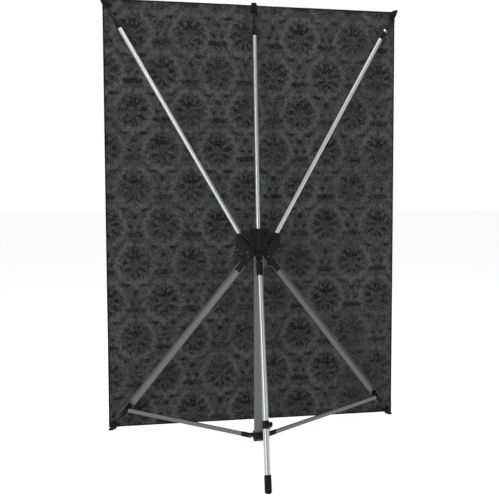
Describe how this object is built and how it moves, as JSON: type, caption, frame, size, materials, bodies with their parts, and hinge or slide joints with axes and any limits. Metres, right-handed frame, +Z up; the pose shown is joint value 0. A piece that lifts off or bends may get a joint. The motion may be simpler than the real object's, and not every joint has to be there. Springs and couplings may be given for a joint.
{
  "type": "folding backdrop stand",
  "caption": "Portable folding backdrop stand seen with its cloth: sprung-out arms hold a tall damask cloth flat, braced legs fold round a column.",
  "frame": {"origin": "middle of the bounding box's bottom: on the floor, half way between the cloth's front face and the back of the rear foot, on the middle plane", "axes": "+Z up; the cloth faces -Y and the frame stands behind it towards +Y; +X is to the left of someone behind the stand"},
  "size_m": [1.4858, 0.7172, 2.1513],
  "materials": {
    "cloth": "charcoal woven polyester with a lighter printed damask",
    "cloth_tab": "black woven webbing, sewn round its edge",
    "bright_tube": "satin anodised, drawn lengthways",
    "grey_channel": "mill-finish aluminium section, duller than the tubes",
    "ferrule_metal": "plated",
    "steel_fastener": "blackened steel",
    "foot_rubber": "black rubber",
    "black_fibreglass": "black glass-fibre rod",
    "black_plastic": "moulded nylon, fine texture"
  },
  "bodies": {
    "hub": {"hub_rear_shell": "black_plastic", "hub_front_shell": "black_plastic", "hub_screws": "steel_fastener", "arm_pivot_pins": "steel_fastener", "leg_pivot_pins": "steel_fastener", "column_channel": "grey_channel", "column_cap": "black_plastic", "arm_centre_tube": "bright_tube", "arm_centre_end_plug": "black_plastic"},
    "rod_centre": {"arm_centre_rod": "black_fibreglass", "arm_centre_rod_stop": "black_plastic", "arm_centre_tip_cap": "black_plastic"},
    "arm_left": {"arm_left_tube": "bright_tube", "arm_left_end_plug": "black_plastic", "arm_left_knuckle": "black_plastic"},
    "rod_left": {"arm_left_rod": "black_fibreglass", "arm_left_rod_stop": "black_plastic", "arm_left_tip_cap": "black_plastic"},
    "arm_right": {"arm_right_tube": "bright_tube", "arm_right_end_plug": "black_plastic", "arm_right_knuckle": "black_plastic", "arm_right_ferrule": "ferrule_metal"},
    "rod_right": {"arm_right_rod": "black_fibreglass", "arm_right_rod_stop": "black_plastic", "arm_right_tip_cap": "black_plastic"},
    "leg_left": {"leg_left_knuckle": "black_plastic", "leg_left_channel": "grey_channel", "leg_left_end_plug": "black_plastic", "leg_left_rod": "black_fibreglass", "leg_left_brace_block": "black_plastic", "leg_left_foot": "foot_rubber"},
    "leg_right": {"leg_right_knuckle": "black_plastic", "leg_right_channel": "grey_channel", "leg_right_end_plug": "black_plastic", "leg_right_rod": "black_fibreglass", "leg_right_brace_block": "black_plastic", "leg_right_foot": "foot_rubber"},
    "leg_rear": {"leg_rear_knuckle": "black_plastic", "leg_rear_tube": "bright_tube", "leg_rear_clamp": "black_plastic", "leg_rear_foot": "foot_rubber"},
    "runner": {"runner": "black_plastic", "runner_pins": "steel_fastener"},
    "brace_left": {"brace_left_eye": "black_plastic", "brace_left_tube": "grey_channel", "brace_left_tip": "black_plastic"},
    "brace_right": {"brace_right_eye": "black_plastic", "brace_right_tube": "grey_channel", "brace_right_tip": "black_plastic"},
    "brace_rear": {"brace_rear_eye": "black_plastic", "brace_rear_tube": "grey_channel", "brace_rear_tip": "black_plastic"},
    "cloth": {"cloth": "cloth", "cloth_tabs": "cloth_tab"}
  },
  "joints": [
    {"name": "leg_fold", "type": "hinge", "parent": "hub", "child": "leg_left", "pos_m": [0.04384, -0.1263, 0.892], "axis": [0.3027, 0.9531, 0], "range_deg": [0, 31.87]},
    {"name": "leg_right_fold", "type": "hinge", "parent": "hub", "child": "leg_right", "pos_m": [-0.04384, -0.1263, 0.892], "axis": [0.3027, -0.9531, 0], "range_deg": [0, 31.87]},
    {"name": "leg_rear_fold", "type": "hinge", "parent": "hub", "child": "leg_rear", "pos_m": [0, -0.06638, 0.892], "axis": [-1, 0, 0], "range_deg": [0, 19.63]},
    {"name": "runner_slide", "type": "slide", "parent": "hub", "child": "runner", "axis": [0, 0, 1], "range_m": [0, 0.49503]},
    {"name": "brace_left_turn", "type": "hinge", "parent": "runner", "child": "brace_left", "pos_m": [0.0366, -0.124, 0.032], "axis": [0.3027, 0.9531, 0], "range_deg": [0, 85.72]},
    {"name": "brace_right_turn", "type": "hinge", "parent": "runner", "child": "brace_right", "pos_m": [-0.0366, -0.124, 0.032], "axis": [0.3027, -0.9531, 0], "range_deg": [0, 85.72]},
    {"name": "brace_rear_turn", "type": "hinge", "parent": "runner", "child": "brace_rear", "pos_m": [0, -0.07398, 0.032], "axis": [-1, 0, 0], "range_deg": [0, 111.16]},
    {"name": "arm_left_fold", "type": "hinge", "parent": "hub", "child": "arm_left", "pos_m": [0.07527, -0.13636, 0.977], "axis": [-0.3036, -0.9528, 0], "range_deg": [0, 29.74]},
    {"name": "rod_left_slide", "type": "slide", "parent": "arm_left", "child": "rod_left", "axis": [0.4899, -0.1561, 0.8577], "range_m": [-0.084, 0]},
    {"name": "arm_right_fold", "type": "hinge", "parent": "hub", "child": "arm_right", "pos_m": [-0.07527, -0.13636, 0.977], "axis": [-0.3036, 0.9528, 0], "range_deg": [0, 29.74]},
    {"name": "rod_right_slide", "type": "slide", "parent": "arm_right", "child": "rod_right", "axis": [-0.4899, -0.1561, 0.8577], "range_m": [-0.084, 0]},
    {"name": "rod_centre_slide", "type": "slide", "parent": "hub", "child": "rod_centre", "axis": [0, -0.1918, 0.9814], "range_m": [-0.084, 0]},
    {"name": "cloth_release", "type": "slide", "parent": "hub", "child": "cloth", "axis": [0, -1, 0], "range_m": [0, 0.3]}
  ],
  "couplings": [
    {"joint": "leg_right_fold", "follows": "leg_fold", "ratio": 1},
    {"joint": "leg_rear_fold", "follows": "leg_fold", "ratio": 0.6161},
    {"joint": "runner_slide", "follows": "leg_fold", "m_per_rad": 0.89005},
    {"joint": "brace_left_turn", "follows": "leg_fold", "ratio": 2.6899},
    {"joint": "brace_right_turn", "follows": "leg_fold", "ratio": 2.6899},
    {"joint": "brace_rear_turn", "follows": "leg_fold", "ratio": 3.4882}
  ]
}
